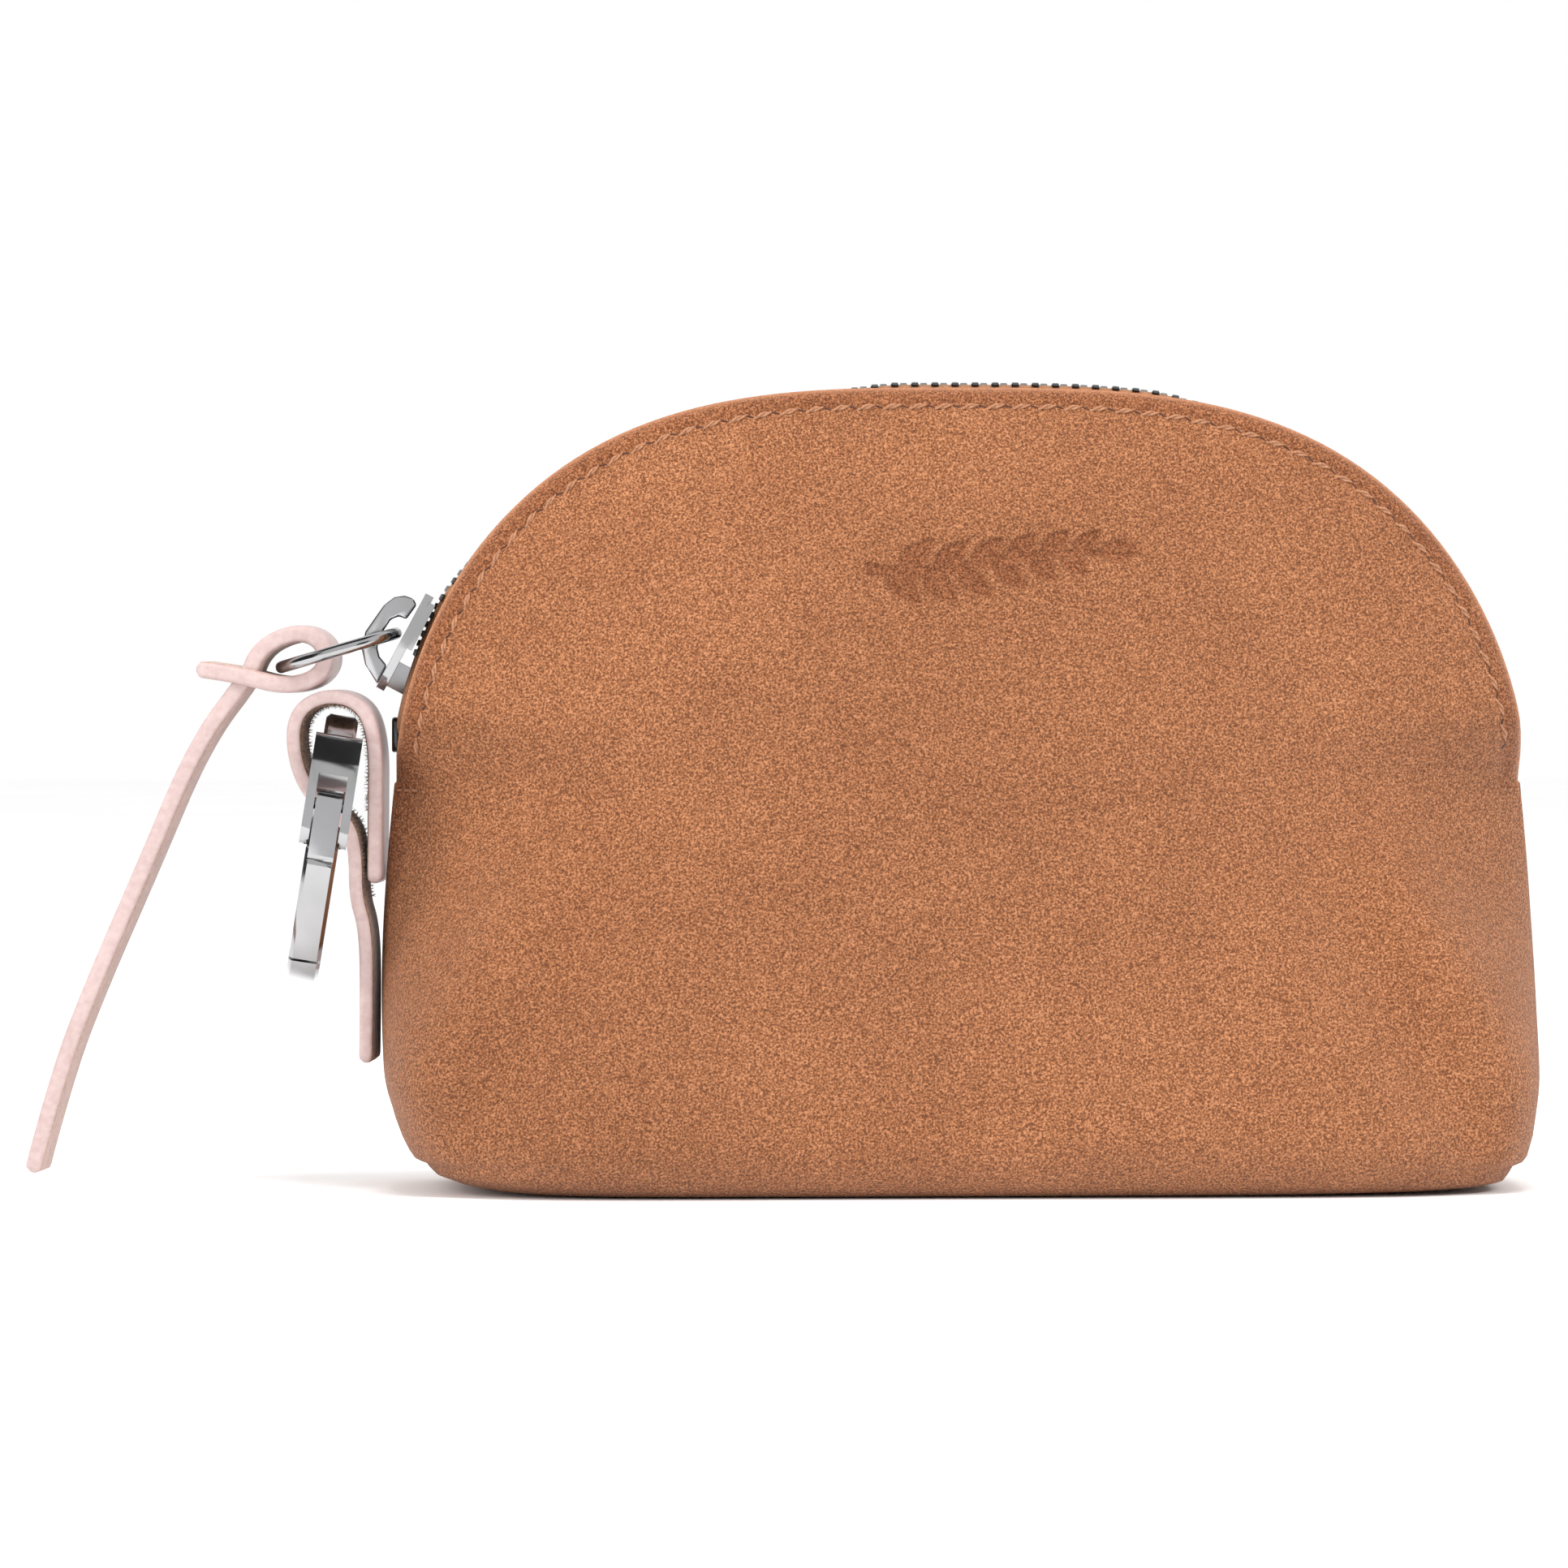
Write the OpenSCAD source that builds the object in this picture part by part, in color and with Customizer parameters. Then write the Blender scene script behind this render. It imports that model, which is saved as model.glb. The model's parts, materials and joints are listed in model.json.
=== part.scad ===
// Zippered half-moon pouch with a leather pull strap and a key ring on a side loop.
// Row frame: origin at the middle of the base, X to the right, Y to the back, Z up.
// The front panel faces -Y and the zip slider rests at the left end of the zip.

/* [Body] */
// half width of the arched top at the height of the zip ends
arch_a = 70.1; // [60:0.1:80]
// rise of the arched top above the zip ends
arch_b = 47.1; // [40:0.1:60]
// height of the zip ends above the base
arch_z = 52; // [40:1:60]
// roundness of the arch across
arch_p = 3.2; // [2:0.1:4]
// roundness of the arch upwards
arch_q = 1.7; // [1.2:0.1:3]
// extra half width at the widest height of the side seams
side_bulge = 1.8; // [0:0.1:4]
// half depth of the filled pouch near the base
depth_half = 27.4; // [20:0.1:35]
// half distance between the outer faces of the two zip edges
edge_half = 6.4; // [5:0.1:8]
// thickness of the leather
leather_t = 1.4; // [1:0.1:2]
// height at which the opening upper leaves begin to fold
fold_z = 50; // [45:1:55]
// gap between the lower panels and the opening leaves
fold_gap = 0.3; // [0.2:0.1:1]

/* [Lining] */
// gap between the leather and the lining
lining_gap = 0.2; // [0.1:0.1:0.5]
// thickness of the lining
lining_t = 0.5; // [0.3:0.1:1]
// thickness of the board in the base
stiffener_t = 1.4; // [1:0.1:2]

/* [Zip] */
// distance between neighbouring teeth of one row
tooth_pitch = 2.5; // [2:0.1:3]
// width of a tooth along the zip
tooth_w = 0.92; // [0.8:0.02:1.2]
// height of a tooth
tooth_h = 2.4; // [2:0.1:3]
// how far a tooth reaches past the middle of the zip
tooth_reach = 0.6; // [0.3:0.1:1]
// length of a tooth from the tape to its tip
tooth_len = 2.8; // [2:0.1:4]
// thickness of the zip tape
tape_t = 0.5; // [0.3:0.1:0.8]
// length along the zip at which the tapes begin
tape_start = 13.4; // [8:0.1:20]
// length left free at the far end of the zip
tape_end = 9; // [5:0.1:15]

/* [Slider] */
// distance of the slider centre from the start of the zip
slider_x = -66.85; // [-70:0.05:-60]
// height of the slider centre
slider_z = 66.4; // [60:0.1:75]
// lean of the slider from the horizontal
slider_tilt = 62; // [50:1:75]
// length of the slider
slider_len = 13.2; // [10:0.1:16]
// width of the slider
slider_w = 8.4; // [7:0.1:9]
// half height of the channel for the teeth
channel_h = 1.9; // [1.5:0.1:2.5]
// thickness of the two slider plates
plate_t = 1.1; // [0.8:0.1:1.5]

/* [Pull] */
// position of the pull ring wire in the hook, across
hook_x = -70.1; // [-75:0.1:-65]
// position of the pull ring wire in the hook, up
hook_z = 68.7; // [60:0.1:75]
// mean radius of the pull ring
pull_r = 7.4; // [6:0.1:9]
// thickness of the pull ring wire
pull_wire = 1.5; // [1:0.1:2]
// droop of the pull ring below the horizontal
pull_droop = 16.5; // [0:1:45]
// thickness of the pull strap
strap_t = 2.1; // [1.5:0.1:3]
// width of the pull strap
strap_w = 7.4; // [6:0.1:10]
// width of the head of the pull strap
strap_head_w = 9; // [8:0.1:14]

/* [Key ring] */
// mean radius of the key ring
ring_r = 15; // [12:0.1:18]
// thickness of the key ring
ring_wire = 4; // [3:0.1:5]
// lean of the key ring from the vertical
ring_lean = 9; // [0:1:20]
// position of the top of the key ring, across
ring_x = -76.9; // [-85:0.1:-70]
// position of the top of the key ring, up
ring_z = 56.9; // [50:0.1:60]
// angle of the gate pivot round the ring from the front
gate_from = 22; // [15:1:45]
// angle of the gate tip round the ring from the front
gate_to = -62; // [-75:1:-40]
// thickness of the key loop strap
loop_t = 1.8; // [1:0.1:2.5]
// width of the key loop strap
loop_w = 10; // [8:0.1:12]

/* [Stitching] */
// distance between stitches
stitch_pitch = 3.2; // [2.5:0.1:4]
// distance of the stitches from the cut edge
stitch_inset = 2.4; // [2:0.1:4]

/* [View] */
// node to draw

/* [Hidden] */
$fn = 48;
TAN = [0.72, 0.47, 0.31];
PINK = [0.87, 0.75, 0.72];
METAL = [0.22, 0.22, 0.24];
CLOTH = [0.55, 0.42, 0.32];
THREAD = [0.75, 0.54, 0.38];
corner_r = 8;
corner_x = 13;
corner_y = 6;
tiny = 0.05;

// ---- shape of the body ----

function smooth(t) = let (s = min(1, max(0, t))) s * s * (3 - 2 * s);

// half width of the arch at height z, and height of the arch over x
function arch_x(z, k = 0) = (arch_a - k)
    * pow(max(0, 1 - pow(max(0, (z - arch_z) / (arch_b - k)), arch_q)), 1 / arch_p);
function arch_top(x, k = 0) = arch_z + (arch_b - k)
    * pow(max(0, 1 - pow(min(1, abs(x) / (arch_a - k)), arch_p)), 1 / arch_q);

// half width and half depth of the body without its rounded base edge
function wide(z) = z < arch_z ? arch_a + side_bulge * sin(180 * (arch_z - z) / 56) : arch_x(z);
function deep(z) = edge_half + (depth_half - edge_half)
    * pow(max(0, 1 - pow(max(0, z) / (arch_z + arch_b), 1.9)), 0.87);

// how far the base edge is rounded in at height z, for a skin set in by k
function roll(z, k) = z >= corner_r ? 0
    : 1 - sqrt(max(0, 1 - pow((corner_r - z) / (corner_r - k), 2)));

// exponents of the cross-section: boxy at the base and lens-shaped at the fold
function exp_n(z) = 2.3 + 4 * (1 - smooth(z / 45));
function exp_m(z) = 1.15 + 2.6 * (1 - smooth(z / 48));

// one row of points of half a cross-section, from the left seam to the right
function half_row(z, k, n) = [
    for (i = [0 : n])
        let (t = 180 * i / n, c = -cos(t), s = sin(t),
            w = wide(z) - k - (corner_x - k) * roll(z, k),
            d = deep(z) - k - (corner_y - k) * roll(z, k))
        [w * sign(c) * pow(abs(c), 2 / exp_n(z)),
            -tiny - (d - tiny) * pow(abs(s), 2 / exp_m(z)), z]];

// rows of the base, from its middle line out, then up the wall to the fold
function shell_rows(k, zf, n, top) = let (r0 = half_row(zf, max(k, 0), n))
    concat([[for (p = r0) [p[0] * 0.96, -tiny, zf]]],
        [for (f = [0, 0.1, 0.3, 0.6, 1]) half_row(zf + (corner_r - zf) * f, k, n)],
        [for (z = [14, 21, 29, 37, 44, top]) half_row(z, k, n)]);

// outer face of an opening leaf over x and z
function leaf_edge(z) = 1.9 + (edge_half - 1.9) * smooth((z - fold_z) / 7);
function leaf_y(x, z, k) = let (r = min(1, abs(x) / max(0.01, arch_x(z))),
        s = pow(max(0, 1 - pow(r, 2.2)), 0.87), e = leaf_edge(z))
    min(-tiny * 5, -(e + (deep(z) - e) * s) + k);

// rows of an opening leaf, from its fold up to the arched edge set in by q
function leaf_rows(k, q, n, m) = [
    for (j = [0 : m])
        [for (i = [0 : n])
            let (x = (arch_a - q - 0.1) * sin(90 * (2 * i / n - 1)),
                z0 = fold_z + fold_gap,
                z = z0 + (arch_top(x, q) - z0) * j / m)
            [x, leaf_y(x, z, k), z]]];

// two triangles of a grid cell; the diagonal leans the same way on both sides of the middle
function cell(a, b, c, d, left) = left ? [[a, b, d], [a, d, c]] : [[a, b, c], [c, b, d]];
function flip(f) = [f[0], f[2], f[1]];

// closed solid between two grids of points with the same counts
module plate(outer, inner) {
    rows = len(outer);
    cols = len(outer[0]);
    size = rows * cols;
    last = (rows - 1) * cols;
    points = [for (g = [outer, inner]) for (r = g) for (p = r) p];
    skin = [for (j = [0 : rows - 2]) for (i = [0 : cols - 2])
        for (f = cell(j * cols + i, (j + 1) * cols + i, j * cols + i + 1,
            (j + 1) * cols + i + 1, i < (cols - 1) / 2)) f];
    faces = concat(
        skin,
        [for (f = skin) [for (v = flip(f)) v + size]],
        [for (i = [0 : cols - 2])
            for (f = cell(i, i + 1, size + i, size + i + 1, false)) f],
        [for (i = [0 : cols - 2])
            for (f = cell(last + i, size + last + i, last + i + 1, size + last + i + 1, false)) f],
        [for (j = [0 : rows - 2])
            for (f = cell(j * cols, size + j * cols, (j + 1) * cols, size + (j + 1) * cols,
                false)) f],
        [for (j = [0 : rows - 2]) let (a = (j + 1) * cols - 1, c = (j + 2) * cols - 1)
            for (f = cell(a, c, size + a, size + c, false)) f]);
    polyhedron(points = points, faces = faces, convexity = 8);
}

module to_back() {
    rotate([0, 0, 180])
        children();
}

module shell_half(k0, k1, zf0, zf1, n, top) {
    plate(shell_rows(k0, zf0, n, top), shell_rows(k1, zf1, n, top));
}

module front_panel() {
    color(TAN)
        shell_half(0, leather_t, 0, leather_t, 24, fold_z);
}

module back_panel() {
    color(TAN)
        to_back()
            shell_half(0, leather_t, 0, leather_t, 24, fold_z);
}

lining_k = leather_t + lining_gap;
lining_z = leather_t + stiffener_t + 0.3;

module body_lining() {
    color(CLOTH) {
        shell_half(lining_k, lining_k + lining_t, lining_z, lining_z + lining_t, 16, fold_z);
        to_back()
            shell_half(lining_k, lining_k + lining_t, lining_z, lining_z + lining_t, 16, fold_z);
    }
}

module base_stiffener() {
    color([0.4, 0.38, 0.36])
        translate([0, 0, leather_t + 0.15])
            linear_extrude(height = stiffener_t)
                offset(r = 6, $fn = 32)
                    square([100, 28], center = true);
}

module leaf() {
    plate(leaf_rows(0, 0, 28, 6), leaf_rows(leather_t, 0, 28, 6));
}

module leaf_lining() {
    plate(leaf_rows(lining_k, 7.5, 18, 4), leaf_rows(lining_k + lining_t, 7.5, 18, 4));
}

module front_leaf() {
    color(TAN)
        leaf();
}

module back_leaf() {
    color(TAN)
        to_back()
            leaf();
}

module front_leaf_lining() {
    color(CLOTH)
        leaf_lining();
}

module back_leaf_lining() {
    color(CLOTH)
        to_back()
            leaf_lining();
}

// ---- zip ----

// the zip follows the arch, from the left zip end over the top to the right one
zip_k = 0.2;
zip_n = 180;
zip_pts = [
    for (i = [0 : zip_n])
        let (t = 180 * i / zip_n, c = -cos(t), s = sin(t))
        [(arch_a - zip_k) * sign(c) * pow(abs(c), 2 / arch_p),
            arch_z + (arch_b - zip_k) * pow(abs(s), 2 / arch_q)]];
zip_len = [for (i = 0, s = 0; i <= zip_n;
    s = s + (i < zip_n ? norm(zip_pts[i + 1] - zip_pts[i]) : 0), i = i + 1) s];
zip_total = zip_len[zip_n];
zip_tx = [for (i = [0 : zip_n]) [zip_len[i], zip_pts[i][0]]];
zip_tz = [for (i = [0 : zip_n]) [zip_len[i], zip_pts[i][1]]];

function on_zip(s) = [lookup(s, zip_tx), lookup(s, zip_tz)];
function zip_dir(s) = let (d = on_zip(s + 0.6) - on_zip(s - 0.6)) d / norm(d);

// points of a tape: s along the zip, flat part from y0 to y1, then down by h
function tape_rows(off, s0, s1, n) = [
    for (c = [[0.75, 0], [2.6, 0], [4.2 + off * 0.3, 0], [4.75 + off, -1.2], [4.75 + off, -5]])
        [for (i = [0 : n])
            let (s = s0 + (s1 - s0) * i / n, p = on_zip(s), d = zip_dir(s), h = c[1] + off)
            [p[0] - d[1] * h, -c[0], p[1] + d[0] * h]]];

module tape() {
    plate(tape_rows(0, tape_start, zip_total - tape_end, 44),
        tape_rows(-tape_t, tape_start, zip_total - tape_end, 44));
}

// a tooth with a slot that takes the tape's edge
module one_tooth() {
    slot = tape_t + 0.35;
    difference() {
        cube([tooth_w, tooth_len, tooth_h], center = true);
        translate([0, -0.65 - tooth_reach, -tape_t / 2])
            cube([tooth_w + 1, tooth_len, slot], center = true);
    }
}

module tooth_row(shift) {
    first = tape_start + 1;
    last = zip_total - tape_end - 1;
    count = floor((last - first) / tooth_pitch);
    for (i = [0 : count - 1]) {
        s = first + (i + shift) * tooth_pitch;
        p = on_zip(s);
        d = zip_dir(s);
        translate([p[0], tooth_reach - tooth_len / 2, p[1]])
            rotate([0, -atan2(d[1], d[0]), 0])
                one_tooth();
    }
}

module front_tape() {
    color(CLOTH)
        translate([0, 0, 0])
            tape();
}

module back_tape() {
    color(CLOTH)
        mirror([0, 1, 0])
            tape();
}

module front_teeth() {
    color(METAL)
        tooth_row(0);
}

module back_teeth() {
    color(METAL)
        mirror([0, 1, 0])
            tooth_row(0.5);
}

// dark metal clip that holds both tapes together where the slider parks
module zip_end_clip() {
    color(METAL)
        translate([-arch_a + 0.8, 0, 0])
            hull()
                for (z = [arch_z + 3.2, arch_z + 5])
                    translate([0, 0, z])
                        rotate([0, -90, 0])
                            cylinder(h = 1.3, d = 2.6, $fn = 24);
}

// ---- slider ----

module at_slider() {
    translate([slider_x, 0, slider_z])
        rotate([0, -slider_tilt, 0])
            children();
}

module slider_outline() {
    hull() {
        translate([-slider_len / 2 + 2.6, 0])
            scale([1, 1.3])
                circle(r = 2.6, $fn = 32);
        translate([slider_len / 2 - 4.6, 0])
            square([6, slider_w], center = true);
        translate([slider_len / 2 - 1.2, 0])
            square([2.4, slider_w - 1.4], center = true);
    }
}

module slider_body() {
    color(METAL)
        at_slider() {
            for (m = [0, 1])
                mirror([0, 0, m])
                    translate([0, 0, channel_h])
                        linear_extrude(height = plate_t)
                            slider_outline();
            // flanges that guide the tape
            for (m = [0, 1])
                for (v = [0, 1])
                    mirror([0, 0, m])
                        mirror([0, v, 0])
                            translate([-0.5, slider_w / 2 - 0.85, channel_h - 0.65])
                                cube([slider_len / 2 - 0.3, 0.85, 0.9]);
            // wedge that parts the teeth
            translate([-slider_len / 2 + 0.6, 0, -channel_h - 0.1])
                linear_extrude(height = 2 * channel_h + 0.2)
                    polygon([[0.2, -0.8], [3.6, -0.45], [3.6, 0.45], [0.2, 0.8]]);
        }
}

// open hook on the slider that the pull ring hangs in
hook_outline = [[-72.3, 62.2], [-73.9, 64.8], [-74.35, 66.8], [-73.9, 68.9], [-71.6, 72.2],
    [-70.3, 73.2], [-69, 73.4], [-67.9, 73], [-67.5, 72.2], [-68.8, 70.4], [-69.7, 70.8],
    [-70.7, 70.4], [-71.5, 69.2], [-72.4, 67], [-72.1, 65.8], [-71.2, 64.7]];

module slider_hook() {
    color(METAL)
        difference() {
            rotate([90, 0, 0])
                linear_extrude(height = 2.2, center = true)
                    polygon(hook_outline);
            at_slider()
                translate([-10, -5, channel_h + plate_t - 12 + 0.02])
                    cube([20, 10, 12]);
        }
}

// ---- pull ring and strap ----

pull_far = [hook_x - 2 * pull_r * cos(pull_droop), hook_z - 2 * pull_r * sin(pull_droop)];

module pull_ring() {
    color(METAL)
        translate([hook_x, 0, hook_z])
            rotate([0, -pull_droop, 0])
                translate([-pull_r, 0, 0])
                    rotate_extrude($fn = 64)
                        translate([pull_r, 0])
                            circle(d = pull_wire, $fn = 20);
}

// outline of a bent strap: the middle line widened by half the thickness each way
module strap_outline(path, t) {
    n = len(path) - 1;
    side = [for (i = [0 : n])
        let (a = path[max(0, i - 1)], b = path[min(n, i + 1)], d = (b - a) / norm(b - a))
        [-d[1], d[0]] * t / 2];
    polygon(concat([for (i = [0 : n]) path[i] + side[i]],
        [for (i = [n : -1 : 0]) path[i] - side[i]]));
}

// rounded path through given points
function bezier(a, b, c, t) = a * pow(1 - t, 2) + b * 2 * t * (1 - t) + c * pow(t, 2);
function curve(p, m) = let (n = len(p) - 1) concat([p[0]],
    [for (i = [1 : n - 1]) for (j = [0 : m - 1])
        bezier(i == 1 ? p[0] : (p[i - 1] + p[i]) / 2, p[i],
            i == n - 1 ? p[n] : (p[i] + p[i + 1]) / 2, (j + (i == 1 ? 1 : 0)) / (m + (i == 1 ? 1 : 0)))],
    [p[n]]);

module bent_strap(path, t, w) {
    rotate([90, 0, 0])
        linear_extrude(height = w, center = true)
            strap_outline(path, t);
}

// the strap is drawn from the middle of the far wire of the pull ring
head_path = [[-9.9, -0.2], [-4.6, -0.9], [0.6, -2.4], [4.6, -1.6], [6.3, 0.6], [5.4, 3.4],
    [2.6, 4.4], [-0.8, 3.2], [-2.7, 1.4]];
tail_path = [[-2.7, 1.4], [-3.6, -1], [-10, -9.4], [-16.5, -24.8], [-22.9, -39.4],
    [-27.2, -50.6], [-30.3, -62.4]];

module pull_strap() {
    color(PINK)
        translate([pull_far[0], 0, pull_far[1]]) {
            difference() {
                bent_strap(curve(head_path, 3), strap_t, strap_head_w);
                translate([-3.4, 0, -1.6])
                    cube([3.9, strap_w + 0.8, 5], center = true);
            }
            bent_strap(curve(tail_path, 3), strap_t, strap_w);
        }
}

// ---- key loop, ring and gate ----

loop_path = [[-72.35, 37.8], [-72.25, 48], [-72.25, 55.5], [-73.8, 60.2], [-78.3, 61.5],
    [-82.3, 59], [-82.2, 52.8], [-79.8, 48], [-75.6, 45.6], [-74.6, 41.5], [-74.6, 36],
    [-73.5, 32.6], [-73.2, 26], [-73.4, 15.6]];

module key_loop() {
    color(PINK)
        bent_strap(curve(loop_path, 3), loop_t, loop_w);
}

module loop_stitches() {
    color(THREAD)
        for (y = [-3.4, 0, 3.4])
            translate([-75.88, y, 39.6])
                cube([0.4, 0.6, 2.6], center = true);
}

module at_ring() {
    translate([ring_x, 0, ring_z])
        rotate([0, ring_lean, 0])
            translate([0, 0, -ring_r])
                rotate([0, -90, 0])
                    rotate([0, 0, -90])
                        children();
}

// an arc of the ring from angle a to angle b, counted up from the front
module ring_arc(a, b, d) {
    rotate([0, 0, a])
        rotate_extrude(angle = b - a, $fn = 96)
            translate([ring_r, 0])
                band_section(d / 2, d * 0.41, 0.45);
}

// flat band with broken corners: h is half its width, r half its thickness
module band_section(h, r, c) {
    polygon([[c - r, -h], [r - c, -h], [r, c - h], [r, h - c],
        [r - c, h], [c - r, h], [-r, h - c], [-r, c - h]]);
}

function ring_at(a) = [ring_r * cos(a), ring_r * sin(a), 0];
gate_reach = 2 * ring_r * sin((gate_from - gate_to) / 2);

module at_pin() {
    translate([ring_at(gate_from)[0], ring_at(gate_from)[1], 0])
        children();
}

module ring_frame() {
    color(METAL)
        at_ring() {
            // the end that the gate closes against is hollowed to let the tip swing in
            difference() {
                ring_arc(gate_from + 16, 360 + gate_to + 14, ring_wire);
                intersection() {
                    at_pin()
                        translate([0, 0, -4])
                            cylinder(h = 8, r = gate_reach + 0.2);
                    rotate([0, 0, gate_to + 7])
                        translate([ring_r - 5, -5, -5])
                            cube([10, 10, 10]);
                }
            }
            // the two cheeks of the fork that carry the pin
            difference() {
                hull() {
                    for (a = [-12, 4, 18, 32])
                        translate([ring_at(gate_from + a)[0], ring_at(gate_from + a)[1], -2.9])
                            cylinder(h = 5.8, r = 2.1, $fn = 32);
                }
                at_pin()
                    translate([0, 0, -4])
                        cylinder(h = 8, d = 1.5);
                rotate([0, 0, gate_from])
                    translate([ring_r - 4, -8, -1.8])
                        cube([8, 11.4, 3.6]);
            }
        }
}

module ring_gate() {
    color(METAL)
        at_ring()
            difference() {
                union() {
                    intersection() {
                        ring_arc(gate_to - 10, gate_from - 21, 3.9);
                        at_pin()
                            translate([0, 0, -4])
                                cylinder(h = 8, r = gate_reach - 0.2);
                    }
                    translate([0, 0, -1.6])
                        linear_extrude(height = 3.2)
                            hull() {
                                for (a = [0, -12, -24])
                                    translate([ring_at(gate_from + a)[0], ring_at(gate_from + a)[1]])
                                        circle(r = 1.7, $fn = 32);
                            }
                }
                at_pin()
                    translate([0, 0, -4])
                        cylinder(h = 8, d = 1.6);
                // slot for the spring
                rotate([0, 0, gate_from - 9])
                    translate([ring_r - 2.8, -1.7, -0.6])
                        cube([3.4, 3.4, 1.2]);
            }
}

module gate_pin() {
    color(METAL)
        at_ring()
            translate([ring_at(gate_from)[0], ring_at(gate_from)[1], -2.85])
                cylinder(h = 5.7, d = 1.46);
}

module gate_spring() {
    color(METAL)
        at_ring()
            rotate([0, 0, gate_from - 9])
                translate([ring_r - 1.5, 0, 0])
                    cube([0.4, 2.6, 0.8], center = true);
}

// ---- stitching ----

stitch_k = stitch_inset;
stitch_pts = [
    for (i = [0 : zip_n])
        let (t = 180 * i / zip_n, c = -cos(t), s = sin(t))
        [(arch_a - stitch_k) * sign(c) * pow(abs(c), 2 / arch_p),
            arch_z + (arch_b - stitch_k) * pow(abs(s), 2 / arch_q)]];
stitch_len = [for (i = 0, s = 0; i <= zip_n;
    s = s + (i < zip_n ? norm(stitch_pts[i + 1] - stitch_pts[i]) : 0), i = i + 1) s];
stitch_tx = [for (i = [0 : zip_n]) [stitch_len[i], stitch_pts[i][0]]];
stitch_tz = [for (i = [0 : zip_n]) [stitch_len[i], stitch_pts[i][1]]];

module stitch_row() {
    total = stitch_len[zip_n];
    count = floor((total - 4) / stitch_pitch);
    for (i = [0 : count - 1]) {
        s = 2 + (i + 0.5) * stitch_pitch;
        x = lookup(s, stitch_tx);
        z = lookup(s, stitch_tz);
        dx = lookup(s + 0.6, stitch_tx) - lookup(s - 0.6, stitch_tx);
        dz = lookup(s + 0.6, stitch_tz) - lookup(s - 0.6, stitch_tz);
        translate([x, leaf_y(x, z, 0) - 0.5, z])
            rotate([0, -atan2(dz, dx), 0])
                cube([2.3, 0.5, 0.6], center = true);
    }
}

module front_stitches() {
    color(THREAD)
        stitch_row();
}

module back_stitches() {
    color(THREAD)
        mirror([0, 1, 0])
            stitch_row();
}

front_panel();
back_panel();
front_leaf();
back_leaf();
body_lining();
front_leaf_lining();
back_leaf_lining();
base_stiffener();
front_tape();
back_tape();
front_teeth();
back_teeth();
zip_end_clip();
slider_body();
slider_hook();
pull_ring();
pull_strap();
key_loop();
loop_stitches();
ring_frame();
ring_gate();
gate_pin();
gate_spring();
front_stitches();
back_stitches();
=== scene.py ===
"""Visual model of a half-moon leather pouch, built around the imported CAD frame.

Lengths in the code are in mm. X runs to the right, Y to the back and Z up.
"""

import json
import math

import bmesh
import bpy
import numpy as np
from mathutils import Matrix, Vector


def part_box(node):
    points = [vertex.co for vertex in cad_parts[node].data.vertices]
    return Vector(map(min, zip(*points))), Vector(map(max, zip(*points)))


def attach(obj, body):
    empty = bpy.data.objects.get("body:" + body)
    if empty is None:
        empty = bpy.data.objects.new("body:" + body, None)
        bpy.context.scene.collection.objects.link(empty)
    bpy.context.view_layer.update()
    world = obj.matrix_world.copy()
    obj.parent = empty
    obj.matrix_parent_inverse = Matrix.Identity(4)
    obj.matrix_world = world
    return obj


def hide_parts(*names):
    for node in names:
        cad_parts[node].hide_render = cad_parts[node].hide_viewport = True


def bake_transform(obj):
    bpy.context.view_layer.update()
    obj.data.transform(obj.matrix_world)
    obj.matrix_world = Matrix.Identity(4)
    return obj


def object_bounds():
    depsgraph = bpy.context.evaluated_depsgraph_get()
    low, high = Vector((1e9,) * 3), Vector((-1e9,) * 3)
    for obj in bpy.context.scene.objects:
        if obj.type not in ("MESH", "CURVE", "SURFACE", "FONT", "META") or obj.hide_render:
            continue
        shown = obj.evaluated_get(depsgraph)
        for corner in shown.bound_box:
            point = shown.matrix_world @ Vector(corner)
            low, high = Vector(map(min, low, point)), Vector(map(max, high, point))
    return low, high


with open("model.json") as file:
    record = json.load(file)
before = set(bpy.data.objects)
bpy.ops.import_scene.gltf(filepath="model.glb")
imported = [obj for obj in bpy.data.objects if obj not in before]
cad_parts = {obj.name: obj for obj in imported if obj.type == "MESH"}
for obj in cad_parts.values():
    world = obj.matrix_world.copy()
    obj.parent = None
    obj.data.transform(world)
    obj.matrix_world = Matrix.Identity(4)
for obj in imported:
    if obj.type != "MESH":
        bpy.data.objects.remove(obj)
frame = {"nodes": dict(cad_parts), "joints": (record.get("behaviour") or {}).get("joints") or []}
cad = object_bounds()
MM = 0.001
JOINTS = {j["name"]: j for j in frame["joints"]}


def box(node):
    lo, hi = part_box(node)
    return np.array(lo) / MM, np.array(hi) / MM


# ---- the pouch's shape, from the CAD frame ----

leaf_hi = box("front_leaf")[1]
FOLD = box("front_panel")[1][2]  # height of the fold between a panel and its opening leaf
TOP = leaf_hi[2]
ARCH_A = leaf_hi[0] + 0.1  # half width at the zip ends
ARCH_Z = FOLD + 2.0  # height of the zip ends
ARCH_B = TOP - ARCH_Z  # rise of the arch
P, Q = 3.2, 1.7  # exponents of the arch's outline, across and up
EDGE = 6.4  # half distance between the zip edges, outside
DEPTH = 27.4  # half depth at the base
ROLL_R, ROLL_Y = 8.0, 6.0  # height and depth of the rounding at the base
LEATHER = 1.4  # thickness
SEAM = 0.02  # least distance of a side from the middle plane
PRESS = 0.42  # depth of the pressed sprig
STITCH_IN, STITCH_PITCH = 2.4, 3.2  # distance of the stitches from the edge, and their spacing
TOOTH_PITCH = 2.5
CREASE_FROM, CREASE_TO = (69.0, 3.0), (43.0, 46.0)  # the fold up from a boxed corner, in X and Z


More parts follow.
